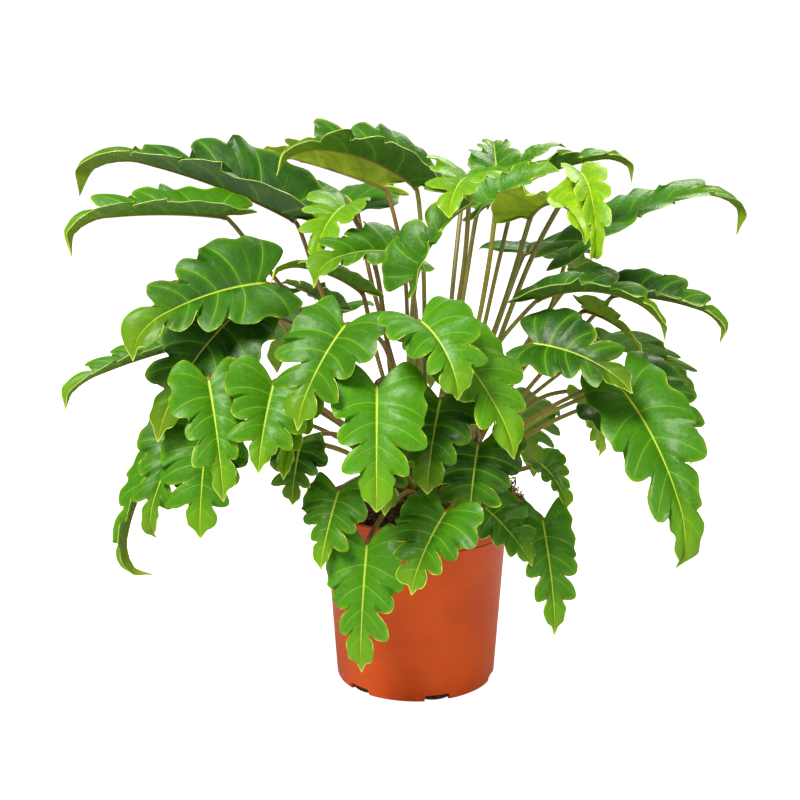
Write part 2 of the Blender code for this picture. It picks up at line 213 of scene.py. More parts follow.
def leaf_material(name, deep, fresh, young, vein, rib, roughness, coat):
    """A living leaf's skin: waxy cuticle over green tissue, paler along its veins and its edge."""
    made, tree, shader = new_material(
        name, Roughness=roughness, Specular_IOR_Level=0.22, Coat_Weight=coat, Coat_Roughness=0.2
    )
    place = node(tree, TEXTURE_PLACE)["Object"]
    # Distances to the rib, the lobes' veins, the bays' veins and the edge are in mm.
    kept = node(tree, ATTRIBUTE, attribute_name="veins")["Vector"]
    rib_off, lobe_vein_off, bay_vein_off = node(tree, SEPARATE, [kept])
    kept = node(tree, ATTRIBUTE, attribute_name="blade")["Vector"]
    along, edge_off, age = node(tree, SEPARATE, [kept])
    # Patches of 25 mm and mottling of 4 mm keep any two parts of a blade from matching.
    patches = node(tree, NOISE, {"Vector": place, "Scale": 1 / (25 * MM), "Detail": 3})[0]
    mottle = node(tree, NOISE, {"Vector": place, "Scale": 1 / (4 * MM), "Detail": 3})[0]
    # Each of these passes smoothly from one strength to another between two values of what it reads.
    # The tissue next to a vein is lighter for some 5 mm, and the blade is yellower inside its edge and
    # towards its tip.
    grown, bright, patchy, mottled, by_vein, rib_wide, vein_wide, fade, side, rim, tip, edge, rough = (
        node(tree, RANGE, strengths, interpolation_type="SMOOTHSTEP")[0]
        for strengths in (
            (age, 0.0, 0.6, 0.0, 1.0),
            (age, 0.55, 1.0, 0.0, 1.0),
            (patches, 0.35, 0.7, 0.0, 0.4),
            (mottle, 0.45, 0.75, 0.0, 0.25),
            (lobe_vein_off, 0.4, 5.0, 0.35, 0.0),
            (along, 0.0, 1.0, 1.15, 0.345),
            (along, 0.0, 1.0, 0.35, 0.105),
            (edge_off, 0.5, 12.0, 0.06, 0.42),
            (bay_vein_off, 0.0, 0.7, 0.35, 0.0),
            (edge_off, 0.5, 5.0, 0.2, 0.0),
            (along, 0.45, 1.0, 0.0, 0.3),
            (edge_off, 0.45, 1.0, 0.9, 0.0),
            (mottle, 0.3, 0.8, roughness - 0.05, roughness + 0.1),
        )
    )
    past_rib = node(tree, MATHS, [rib_off, rib_wide], operation="SUBTRACT")[0]
    past_vein = node(tree, MATHS, [lobe_vein_off, vein_wide], operation="SUBTRACT")[0]
    on_rib = node(tree, RANGE, [past_rib, -0.5, 0.5, 0.9, 0.0], interpolation_type="SMOOTHSTEP")[0]
    on_vein = node(tree, RANGE, [past_vein, -0.3, 0.5, 1.0, 0.0], interpolation_type="SMOOTHSTEP")[0]
    on_vein = node(tree, MATHS, [on_vein, fade], operation="MULTIPLY")[0]
    on_side = node(tree, MATHS, [side, fade], operation="MULTIPLY")[0]
    on_either = node(tree, MATHS, [on_vein, on_side], operation="MAXIMUM")[0]
    sunny = node(tree, MATHS, [rim, tip], operation="MAXIMUM")[0]
    green = deep
    for share, colour in (
        (grown, fresh),
        (bright, young),
        (patchy, fresh),
        (mottled, deep),
        (by_vein, fresh),
        (sunny, young),
        (on_either, vein),
        (edge, rib),
        (on_rib, rib),
    ):
        green = node(tree, MIX, {0: share, 6: green, 7: colour}, data_type="RGBA")[2]
    tree.links.new(green, shader.inputs["Base Color"])
    tree.links.new(rough, shader.inputs["Roughness"])
    # Veins sit in shallow grooves, and the skin between them is faintly puckered.
    shallow = node(tree, MATHS, [on_side, 0.6], operation="MULTIPLY")[0]
    groove = node(tree, MATHS, [on_vein, shallow], operation="MAXIMUM")[0]
    pucker = node(tree, NOISE, {"Vector": place, "Scale": 1 / (6 * MM), "Detail": 3})[0]
    grain = node(tree, NOISE, {"Vector": place, "Scale": 1 / (1.6 * MM), "Detail": 2})[0]
    height = node(tree, MATHS, [grain, 0.16, pucker], operation="MULTIPLY_ADD")[0]
    height = node(tree, MATHS, [groove, -0.5, height], operation="MULTIPLY_ADD")[0]
    bump = node(tree, BUMP, {"Strength": 0.7, "Distance": 1.2 * MM, "Height": height})[0]
    tree.links.new(bump, shader.inputs["Normal"])
    return made


def leaf_top_material():
    # Upper cuticle: deep green under a thin waxy coat that gives broad soft highlights.
    colours = [srgb(code) for code in ("1B4408", "478806", "A6CC12", "A2C63A", "C6D850")]
    return leaf_material("waxy upper leaf skin", *colours, roughness=0.45, coat=0.07)


def leaf_under_material():
    # Underside: duller and more olive, with a raised rib that is brownish.
    colours = [srgb(code) for code in ("2A560A", "508410", "B0C828", "94B040", "A08430")]
    return leaf_material("dull leaf underside", *colours, roughness=0.56, coat=0.02)


def leaf_edge_material():
    # The blade's cut edge: clear yellowish cartilage that draws a fine pale line round every lobe.
    made, tree, shader = new_material("pale leaf margin", Roughness=0.45)
    place = node(tree, TEXTURE_PLACE)["Object"]
    cloud = node(tree, NOISE, {"Vector": place, "Scale": 1 / (6 * MM)})[0]
    colour = node(tree, MIX, {0: cloud, 6: srgb("CCDC70"), 7: srgb("A8CC50")}, data_type="RGBA")[2]
    tree.links.new(colour, shader.inputs["Base Color"])
    return made


def stalk_material():
    # Petiole skin: olive to reddish brown, satin, with fine lengthwise fibres.
    made, tree, shader = new_material(
        "satin petiole skin", Roughness=0.42, Coat_Weight=0.12, Coat_Roughness=0.3
    )
    place = node(tree, TEXTURE_PLACE)["Object"]
    kept = node(tree, ATTRIBUTE, attribute_name="stalk")["Vector"]
    along, ruddy, round_it = node(tree, SEPARATE, [kept])
    across = node(tree, MATHS, [round_it, 26.0], operation="MULTIPLY")[0]
    down = node(tree, MATHS, [along, 9.0], operation="MULTIPLY")[0]
    streaks = node(tree, "ShaderNodeCombineXYZ", [across, down])[0]
    fibres = node(tree, NOISE, {"Vector": streaks, "Scale": 1.0, "Detail": 3})[0]
    streak = node(tree, RANGE, [fibres, 0.4, 0.7, 0.0, 0.45], interpolation_type="SMOOTHSTEP")[0]
    cloud = node(tree, NOISE, {"Vector": place, "Scale": 1 / (14 * MM), "Detail": 3})[0]
    blotch = node(tree, RANGE, [cloud, 0.45, 0.75, 0.0, 0.4], interpolation_type="SMOOTHSTEP")[0]
    colour = srgb("888E28")
    for share, code in ((ruddy, "80501C"), (streak, "43300F"), (blotch, "93982E")):
        colour = node(tree, MIX, {0: share, 6: colour, 7: srgb(code)}, data_type="RGBA")[2]
    tree.links.new(colour, shader.inputs["Base Color"])
    bump = node(tree, BUMP, {"Strength": 0.5, "Distance": 0.4 * MM, "Height": fibres})[0]
    tree.links.new(bump, shader.inputs["Normal"])
    return made


def pot_material():
    # Injection-moulded polypropylene: burnt orange right through, satin, with faint flow marks and dust.
    made, tree, shader = new_material("moulded polypropylene", Roughness=0.42, Specular_IOR_Level=0.22)
    place = node(tree, TEXTURE_PLACE)["Object"]
    cloud = node(tree, NOISE, {"Vector": place, "Scale": 1 / (60 * MM), "Detail": 3})[0]
    band = node(tree, "ShaderNodeMapping", {"Vector": place, "Scale": (6.0, 6.0, 260.0)})[0]
    flow = node(tree, NOISE, {"Vector": band, "Scale": 1.0, "Detail": 3})[0]
    dust = node(tree, NOISE, {"Vector": place, "Scale": 1 / (5 * MM), "Detail": 4})[0]
    height = node(tree, SEPARATE, [place])[2]
    # Dust lies thickest over the lowest 50 mm.
    clouded, marked, dusty, low, rough = (
        node(tree, RANGE, strengths, interpolation_type="SMOOTHSTEP")[0]
        for strengths in (
            (cloud, 0.3, 0.7, 0.0, 1.0),
            (flow, 0.45, 0.75, 0.0, 0.08),
            (dust, 0.5, 0.8, 0.0, 0.25),
            (height, 0.0, 0.05, 1.0, 0.15),
            (dust, 0.3, 0.8, 0.36, 0.5),
        )
    )
    soiled = node(tree, MATHS, [low, dusty], operation="MULTIPLY")[0]
    colour = srgb("CC4800")
    for share, code in ((clouded, "DA5404"), (marked, "A83A02"), (soiled, "C98A62")):
        colour = node(tree, MIX, {0: share, 6: colour, 7: srgb(code)}, data_type="RGBA")[2]
    tree.links.new(colour, shader.inputs["Base Color"])
    tree.links.new(rough, shader.inputs["Roughness"])
    # Spark-eroded mould texture, 0.8 mm grain drawn at 1.5 mm so that it shows.
    grain = node(tree, NOISE, {"Vector": place, "Scale": 1 / (1.5 * MM), "Detail": 2})[0]
    bump = node(tree, BUMP, {"Strength": 0.25, "Distance": 0.25 * MM, "Height": grain})[0]
    tree.links.new(bump, shader.inputs["Normal"])
    return made


def soil_material():
    # Peat: matt, nearly black when moist, with paler dry crumbs.
    made, tree, shader = new_material("moist peat", Roughness=0.95, Specular_IOR_Level=0.2)
    place = node(tree, TEXTURE_PLACE)["Object"]
    crumbs = node(
        tree, NOISE, {"Vector": place, "Scale": 1 / (3 * MM), "Detail": 4, "Roughness": 0.7}
    )[0]
    share = node(tree, RANGE, [crumbs, 0.35, 0.7], interpolation_type="SMOOTHSTEP")[0]
    colour = node(tree, MIX, {0: share, 6: srgb("20150D"), 7: srgb("664830")}, data_type="RGBA")[2]
    tree.links.new(colour, shader.inputs["Base Color"])
    bump = node(tree, BUMP, {"Strength": 1.0, "Distance": 2 * MM, "Height": crumbs})[0]
    tree.links.new(bump, shader.inputs["Normal"])
    return made


def fibre_material(name, dark, light):
    # Dry plant fibre: matt, darker and lighter every few mm, with a fine grain.
    made, tree, shader = new_material(name, Roughness=0.85, Specular_IOR_Level=0.25)
    place = node(tree, TEXTURE_PLACE)["Object"]
    cloud = node(tree, NOISE, {"Vector": place, "Scale": 1 / (5 * MM), "Detail": 3})[0]
    share = node(tree, RANGE, [cloud, 0.3, 0.7], interpolation_type="SMOOTHSTEP")[0]
    colour = node(tree, MIX, {0: share, 6: srgb(dark), 7: srgb(light)}, data_type="RGBA")[2]
    tree.links.new(colour, shader.inputs["Base Color"])
    grain = node(tree, NOISE, {"Vector": place, "Scale": 1 / (1.2 * MM), "Detail": 3})[0]
    bump = node(tree, BUMP, {"Strength": 0.8, "Distance": 0.8 * MM, "Height": grain})[0]
    tree.links.new(bump, shader.inputs["Normal"])
    return made


# ---------------------------------------------------------------- reading a leaf's CAD node


def rings_of(name):
    """The rings of places that a leaf's node was lofted through, from the stalk's foot to the blade's tip."""
    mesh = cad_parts[name].data
    raw = np.array([v.co for v in mesh.vertices])
    keys, index = np.unique(np.round(raw / 1e-6).astype(np.int64), axis=0, return_inverse=True)
    places = np.zeros((len(keys), 3))
    places[index.ravel()] = raw
    index = index.ravel()
    near = [set() for _ in keys]
    for face in mesh.polygons:
        a, b, c = (int(index[i]) for i in face.vertices)
        near[a] |= {b, c}
        near[b] |= {a, c}
        near[c] |= {a, b}
    crown = np.array([(a + b) / 2 for a, b in zip(*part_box("crown"))])
    ends = []
    for start in (i for i in range(len(keys)) if len(near[i]) == 6):
        levels, seen = [{start}], {start}
        while len(seen) < len(keys):
            level = set().union(*(near[i] for i in levels[-1])) - seen
            if len(level) != 6 and len(seen) + len(level) < len(keys):
                break
            levels.append(level)
            seen |= level
        if len(seen) == len(keys) and len(levels[-1]) == 1:
            ends.append((np.linalg.norm(places[start] - crown), levels))
    levels = min(ends, key=lambda end: end[0])[1]
    rings = []
    for level in levels[1:-1]:
        order = [min(level)]
        while len(order) < len(level):
            order.append(min(near[order[-1]] & level - set(order)))
        rings.append(places[order])
    return places[min(levels[0])], rings, places[min(levels[-1])]


def read_leaf(name):
    """A leaf's stalk line, midrib, margins and up directions, as they lie in its node."""
    foot, rings, tip = rings_of(name)
    stalk = np.array([ring.mean(0) for ring in rings[:5]])
    ribs, ups, pairs = [], [], []
    for ring in rings[5:]:
        # The rib's top and keel are the closest opposite pair, and only the top lies between the margins.
        first = np.argmin([np.linalg.norm(ring[i] - ring[i + 3]) for i in range(3)])
        sides = [np.linalg.norm(ring[(i + 1) % 6] - ring[i]) for i in range(6)]
        reach = [np.linalg.norm(ring[i - 1] - ring[i]) + sides[i] for i in range(6)]
        top = first if reach[first] > reach[first + 3] else first + 3
        keel = (top + 3) % 6
        ribs.append((ring[top] + ring[keel]) / 2)
        ups.append(unit(ring[top] - ring[keel]))
        pairs.append((ring[top - 1], ring[(top + 1) % 6]))
    ways = unit(np.gradient(np.vstack([stalk[-1:], ribs, tip[None]]), axis=0)[1:-1])
    left, right = [], []
    for up, way, (a, b) in zip(ups, ways, pairs):
        swap = np.dot(np.cross(up, way), a - b) < 0
        left.append(b if swap else a)
        right.append(a if swap else b)
    parts = {"stalk": stalk, "ribs": ribs, "ups": ups, "left": left, "right": right}
    return {"foot": foot, "tip": tip, **{key: np.array(value) for key, value in parts.items()}}


# ---------------------------------------------------------------- curves through places


def smooth(places, at):
    """Places at these fractional indices, on a curve that passes smoothly through all the places."""
    places = np.asarray(places, float)
    gaps = np.sqrt(np.maximum(np.linalg.norm(np.diff(places, axis=0), axis=1), 1e-5))
    slopes = np.diff(places, axis=0) / gaps[:, None]
    tangents = np.empty_like(places)
    tangents[0], tangents[-1] = slopes[0], slopes[-1]
    share = (gaps[:-1] / (gaps[:-1] + gaps[1:]))[:, None]
    tangents[1:-1] = slopes[:-1] * (1 - share) + slopes[1:] * share
    i = np.clip(np.floor(at).astype(int), 0, len(places) - 2)
    u = (at - i)[:, None]
    h = gaps[i][:, None]
    return (
        places[i] * (2 * u**3 - 3 * u**2 + 1)
        + tangents[i] * h * (u**3 - 2 * u**2 + u)
        + places[i + 1] * (3 * u**2 - 2 * u**3)
        + tangents[i + 1] * h * (u**3 - u**2)
    )


def rounded_margin(margin, ribs, fill, stretch):
    """A margin's places with one more between each two, set outwards so that lobes are full."""
    margin = margin.copy()
    for ring, share in stretch.items():
        margin[ring] = ribs[ring] + (margin[ring] - ribs[ring]) * share
    for ring, share in fill.items():
        margin[ring] += ((margin[ring - 1] + margin[ring + 1]) / 2 - margin[ring]) * share
    out = [margin[0]]
    for k in range(len(margin) - 1):
        a, b = margin[k], margin[k + 1]
        chord = b - a
        outward = (a - ribs[k]) + (b - ribs[k + 1])
        outward = unit(outward - chord * np.dot(outward, chord) / max(np.dot(chord, chord), 1e-12))
        swell = 0.0 if k < 2 or k > 11 else 0.15
        out += [(a + b) / 2 + outward * np.linalg.norm(chord) * swell, b]
    return np.array(out)


def distance_to(line, places):
    """How far each place is from a line through these points."""
    a, d = line[:-1], np.diff(line, axis=0)
    share = ((places[:, None] - a[None]) * d[None]).sum(2) / np.maximum((d**2).sum(1), 1e-14)
    near = a[None] + d[None] * share.clip(0, 1)[..., None]
    return np.linalg.norm(places[:, None] - near, axis=2).min(1)


# ---------------------------------------------------------------- leaves


def blade_surface(leaf, chance):
    """Places over a blade, row by row from its joint to its tip and across from left to right, with the
    distances to its rib, its veins and its edge in mm."""
    joint = leaf["stalk"][-1] + (leaf["ribs"][0] - leaf["stalk"][-1]) * 0.35
    ribs = np.vstack([joint, leaf["ribs"], leaf["tip"]])
    ups = np.vstack([leaf["ups"][0], leaf["ups"], leaf["ups"][-1]])
    across = unit(leaf["left"] - leaf["right"])
    count = (len(ribs) - 1) * ROWS_A_RING + 1
    at = np.linspace(0, len(ribs) - 1, count)
    rib = smooth(ribs, at)
    up = unit(smooth(ups, at))
    way = unit(np.gradient(rib, axis=0))
    s = np.concatenate([[0], np.cumsum(np.linalg.norm(np.diff(rib, axis=0), axis=1))])
    length = s[-1]
    half = np.linspace(0, 1, STEPS_A_SIDE + 1)
    wave = chance.uniform(0, 2 * math.pi, 4)
    sides, lines = [], []
    width = np.linalg.norm(leaf["left"] - leaf["right"], axis=1).max() / 2
    for sign, margin in ((1, leaf["left"]), (-1, leaf["right"])):
        first = joint + across[0] * sign * 1.3 * MM
        last = leaf["tip"] + across[-1] * sign * 0.4 * MM
        # The shoulders stay nearly whole, the bays after them are deep and uneven with lips that curl
        # apart, and the tip's own lobe is a broad spear.
        fill = {ring: chance.uniform(*share) for ring, share in BAY_FILL.items()}
        stretch = {ring: chance.uniform(*share) for ring, share in LOBE_REACH.items()}
        coarse = rounded_margin(np.vstack([first, margin, last]), ribs, fill, stretch)
        edge = smooth(coarse, at * 2)
        outward = unit(edge - rib)
        wander = 0.022 * np.sin(s / (15 * MM) * 2 * math.pi / 1.6 + wave[1])
        wander = wander + 0.016 * np.sin(s / (6 * MM) + wave[2])
        notch, curl = np.zeros(count), np.zeros(count)
        for ring in CURLED_BAYS:
            off = at - ring - chance.uniform(-0.35, 0.35)
            notch += chance.uniform(0.0, 0.16) * np.exp(-np.abs(off) / 0.25)
            curl += chance.uniform(0.08, 0.2) * np.sign(off) * np.exp(-np.abs(off) / 0.5) * sign
        wide = np.minimum(np.linalg.norm(edge - rib, axis=1), width)
        edge = edge + outward * ((wander - notch) * wide)[:, None]
        reach = edge - rib
        wide = np.linalg.norm(reach, axis=1)
        # Lobes droop and the bays between them ride up, with a slow wave of the blade's own on top.
        ruffle = np.cos(math.pi * (at - 3)) * -0.08 * (at > 1.5)
        slow = 0.06 * np.sin(s / length * 8 + wave[0 if sign > 0 else 1])
        quick = 0.028 * np.sin(s / length * 29 + wave[2 if sign > 0 else 3])
        fall = np.minimum(wide, width * 0.8)
        a = half[None, :, None]
        rise = 0.38 * a * (1 - a) * wide[:, None, None]
        rise = rise + ((ruffle + slow + quick) * fall)[:, None, None] * a**2
        rise = rise + (curl * fall)[:, None, None] * a**4
        back = 0.3 * a * (1 - a) * np.minimum(wide, width)[:, None, None]
        sides.append(rib[:, None] + reach[:, None] * a + up[:, None] * rise - way[:, None] * back)
        lines.append(edge)
    left, right = sides
    grid = np.concatenate([left[:, :0:-1], right], axis=1)
    rows, columns = grid.shape[:2]
    flat = grid.reshape(-1, 3)
    side = np.concatenate([np.ones(STEPS_A_SIDE), [0], -np.ones(STEPS_A_SIDE)])
    sides_flat = np.tile(side, rows)
    rib_off = distance_to(rib, flat)
    offs = {}
    for key, rings in (("lobe", LOBE_RINGS), ("bay", BAY_RINGS)):
        best = np.full(len(flat), 1.0)
        for sign, places in ((1, left), (-1, right)):
            mine = sides_flat * sign >= 0
            for ring in rings:
                line = places[ring * ROWS_A_RING, : (None if key == "lobe" else -3)]
                best[mine] = np.minimum(best[mine], distance_to(line, flat[mine]))
        offs[key] = best
    edge_off = np.minimum(distance_to(lines[0], flat), distance_to(lines[1], flat))
    # Tissue swells between the veins and dips along them.
    swell = 1 - np.exp(-((np.minimum(offs["lobe"], rib_off * 0.8) / (5 * MM)) ** 2))
    swell *= np.minimum(edge_off / (8 * MM), 1)
    flat = flat + np.repeat(up, columns, axis=0) * (swell * 0.75 * MM)[:, None]
    return {
        "places": flat,
        "rows": rows,
        "columns": columns,
        "veins": np.stack([rib_off, offs["lobe"], offs["bay"]], 1) / MM,
        "along": np.repeat(s / length, columns),
        "edge": edge_off / MM,
        "rib": rib,
        "up": up,
    }


def write_vector(mesh, name, values):
    attribute = mesh.attributes.new(name, "FLOAT_VECTOR", "POINT")
    attribute.data.foreach_set("vector", np.asarray(values, np.float32).ravel())


def blade_piece(name, surface, age, skins):
    """A grid laid over the blade's surface and given its thickness."""
    rows, columns = surface["rows"], surface["columns"]
    deselect()
    bpy.ops.mesh.primitive_grid_add(x_subdivisions=columns - 1, y_subdivisions=rows - 1, size=1)
    blade = bpy.context.active_object
    blade.name = name
    mesh = blade.data
    # The grid runs along X first, left to right, and row by row along Y.
    order = np.array([v.co for v in mesh.vertices])
    column = np.rint((order[:, 0] + 0.5) * (columns - 1)).astype(int)
    row = np.rint((order[:, 1] + 0.5) * (rows - 1)).astype(int)
    pick = row * columns + column
    mesh.vertices.foreach_set("co", surface["places"][pick].astype(np.float32).ravel())
    write_vector(mesh, "veins", surface["veins"][pick])
    write_vector(
        mesh, "blade", np.stack([surface["along"], surface["edge"], np.full(len(pick), age)], 1)[pick]
    )
    share = np.stack([column / (columns - 1), row / (rows - 1)], 1)
    for skin in skins:
        mesh.materials.append(skin)
    for layer in list(mesh.uv_layers):
        mesh.uv_layers.remove(layer)
    mesh.update()
    ups = np.repeat(surface["up"], columns, axis=0)[pick]
    normals = np.array([v.normal for v in mesh.vertices])
    if (normals * ups).sum() < 0:
        mesh.flip_normals()
    shell = blade.modifiers.new("thickness", "SOLIDIFY")
    shell.thickness = BLADE_THICKNESS
    shell.offset = 0
    shell.use_even_offset = False
    shell.material_offset = 1
    shell.material_offset_rim = 2
    apply_modifiers(blade)
    bake_layout(mesh, share)
    return blade


def bake_layout(mesh, share):
    """Lays out the upper skin, the underside and the edges side by side on the map that bakes use."""
    count = len(share)
    layer = mesh.uv_layers.new(name="OFBake")
    corner = np.empty(len(mesh.loops), np.int32)
    mesh.loops.foreach_get("vertex_index", corner)
    slot = np.empty(len(mesh.polygons), np.int32)
    mesh.polygons.foreach_get("material_index", slot)
    total = np.empty(len(mesh.polygons), np.int32)
    mesh.polygons.foreach_get("loop_total", total)
    slot = np.repeat(slot, total)
    below = corner >= count
    place = share[corner % count]
    x = np.where(
        slot == 0,
        0.01 + 0.41 * place[:, 0],
        np.where(
            slot == 1,
            0.44 + 0.41 * place[:, 0],
            np.where(place[:, 0] < 0.5, 0.87, 0.90) + 0.012 * below,
        ),
    )
    y = 0.01 + 0.98 * place[:, 1]
    layer.uv.foreach_set("vector", np.stack([x, y], 1).astype(np.float32).ravel())


def tube_grid(name, count, sides):
    """A grid to be rolled into a tube, with each vertex's row along it and column round it."""
    deselect()
    bpy.ops.mesh.primitive_grid_add(x_subdivisions=sides, y_subdivisions=count - 1, size=1)
    piece = bpy.context.active_object
    piece.name = name
    mesh = piece.data
    order = np.array([v.co for v in mesh.vertices])
    column = np.rint((order[:, 0] + 0.5) * sides).astype(int)
    row = np.rint((order[:, 1] + 0.5) * (count - 1)).astype(int)
    for layer in list(mesh.uv_layers):
        mesh.uv_layers.remove(layer)
    return piece, row, column / sides


def roll_tube(piece, row, round_it, places, radii, ups, flatten):
    """Rolls a tube's grid round the line through these places."""
    ways = unit(np.gradient(places, axis=0))
    lefts = unit(np.cross(ups, ways))
    tops = np.cross(ways, lefts)
    angle = round_it * 2 * math.pi
    ring = lefts[row] * np.cos(angle)[:, None] + tops[row] * (np.sin(angle) * flatten[row])[:, None]
    skin = places[row] + ring * radii[row][:, None]
    piece.data.vertices.foreach_set("co", skin.astype(np.float32).ravel())


def close_tube(piece):
    """Joins the seams of the tubes in a piece and closes their ends."""
    choose(piece)
    bpy.ops.object.mode_set(mode="EDIT")
    bpy.ops.mesh.select_all(action="SELECT")
    bpy.ops.mesh.remove_doubles(threshold=SEAM_GAP)
    bpy.ops.mesh.fill_holes(sides=12)
    bpy.ops.mesh.normals_make_consistent(inside=False)
    bpy.ops.object.mode_set(mode="OBJECT")
    return piece


def stalk_piece(name, leaf, surface, ruddy, skin):
    """The petiole from its sheathed foot, through its swollen joint, and on under the blade as its rib."""
    foot = leaf["foot"] - np.array([0, 0, FOOT_DEPTH])
    line = np.vstack([foot, leaf["stalk"], surface["rib"][2]])
    upright = smooth(line, np.linspace(0, len(line) - 1, PETIOLE_ROWS))
    rib = surface["rib"][3 : -ROWS_A_RING : 3]
    under = surface["up"][3 : -ROWS_A_RING : 3]
    taper = np.linspace(1, 0, len(rib)) ** 0.8
    thick = (0.45 + 1.15 * taper) * MM
    places = np.vstack([upright, rib - under * (thick * 0.75)[:, None]])
    t = np.linspace(0, 1, len(upright))
    joint_swell = 0.55 * np.exp(-(((t - 0.97) / 0.035) ** 2))
    petiole = (2.35 + 1.5 * np.exp(-t / 0.12) + 0.15 * (1 - t) + joint_swell) * MM
    radii = np.concatenate([petiole, thick])
    radii = np.convolve(np.pad(radii, 1, mode="edge"), [0.25, 0.5, 0.25], mode="valid")
    first_up = surface["up"][0]
    ups = np.vstack([np.repeat(first_up[None], len(upright), 0), under])
    ways = unit(np.gradient(places, axis=0))
    for i in range(len(places) - 1, 0, -1):
        ups[i - 1] = unit(ups[i] - ways[i - 1] * np.dot(ups[i], ways[i - 1]))
    flatten = np.concatenate([np.full(len(upright), 0.88), np.full(len(rib), 0.9)])
    piece, row, round_it = tube_grid(name, len(places), PETIOLE_SIDES)
    roll_tube(piece, row, round_it, places, radii, ups, flatten)
    along = row / (len(places) - 1)
    layer = piece.data.uv_layers.new(name="OFBake")
    corner = np.empty(len(piece.data.loops), np.int32)
    piece.data.loops.foreach_get("vertex_index", corner)
    uv = np.stack([0.935 + 0.055 * round_it, 0.01 + 0.98 * along], 1)
    layer.uv.foreach_set("vector", uv[corner].astype(np.float32).ravel())
    piece.data.materials.append(skin)
    joint_share = len(upright) / len(places)
    near_joint = np.exp(-(((along - joint_share) / 0.09) ** 2))
    beyond = np.clip((along - joint_share) / (1 - joint_share), 0, 1)
    red = np.clip(ruddy + 0.5 * near_joint, 0, 1) * (1 - 0.75 * beyond)
    write_vector(piece.data, "stalk", np.stack([along * 20, red, round_it], 1))
    return close_tube(piece)


def make_leaf(name, chance, skins, skin):
    leaf = read_leaf(name)
    surface = blade_surface(leaf, chance)
    age = LEAF_AGE.get(name, chance.uniform(0.2, 0.55))
    ruddy = chance.uniform(0.0, 0.6) if leaf["stalk"][-1][0] > -0.02 else chance.uniform(0.4, 0.9)
    blade = blade_piece(name.replace("leaf_", "blade_"), surface, age, skins)
    stalk = stalk_piece(name.replace("leaf_", "petiole_"), leaf, surface, ruddy, skin)
    deselect()
    stalk.select_set(True)
    blade.select_set(True)
    bpy.context.view_layer.objects.active = blade
    bpy.ops.object.join()
    bpy.ops.object.shade_smooth_by_angle(angle=LEAF_CREASE)
    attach(blade, "root")
    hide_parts(name)
    return blade


def make_leaves():
    chance = np.random.default_rng(11)
    skins = [leaf_top_material(), leaf_under_material(), leaf_edge_material()]
    skin = stalk_material()
    for name in sorted(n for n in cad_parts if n.startswith("leaf_")):
        make_leaf(name, chance, skins, skin)


# ---------------------------------------------------------------- pot and soil


def lathe(name, profile, steps, skin):
    """A turned shell from (radius, height) places, drawn up ring by ring and closed at its ends."""
    deselect()
    r, z = profile[0]
    bpy.ops.mesh.primitive_circle_add(vertices=steps, radius=r, location=(0, 0, z), fill_type="NGON")
    piece = bpy.context.active_object
    bpy.ops.object.transform_apply(location=True)
    piece.name = name
    bpy.ops.object.mode_set(mode="EDIT")
    bpy.ops.mesh.select_all(action="SELECT")
    for after, height in profile[1:]:
        bpy.ops.mesh.extrude_region_move(TRANSFORM_OT_translate={"value": (0, 0, height - z)})
        share = after / r
        bpy.ops.transform.resize(value=(share, share, 1), center_override=(0, 0, height))
        r, z = after, height
    bpy.ops.mesh.select_all(action="SELECT")
    bpy.ops.mesh.normals_make_consistent(inside=False)
    bpy.ops.object.mode_set(mode="OBJECT")
    piece.data.materials.append(skin)
    return piece


def settle_piece(piece, node_name):
    """Smooths a finished piece, hangs it on the root body and hides the node it stands for."""
    choose(piece)
    bpy.ops.object.shade_smooth_by_angle(angle=PIECE_CREASE)
    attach(piece, "root")
    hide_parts(node_name)
    return piece


def notch_angles():
    """Where the notches in the pot's foot are, as turns about its axis."""
    turns = range(NOTCH_COUNT)
    return [math.radians(NOTCH_START + 360 / NOTCH_COUNT * turn - 90) for turn in turns]


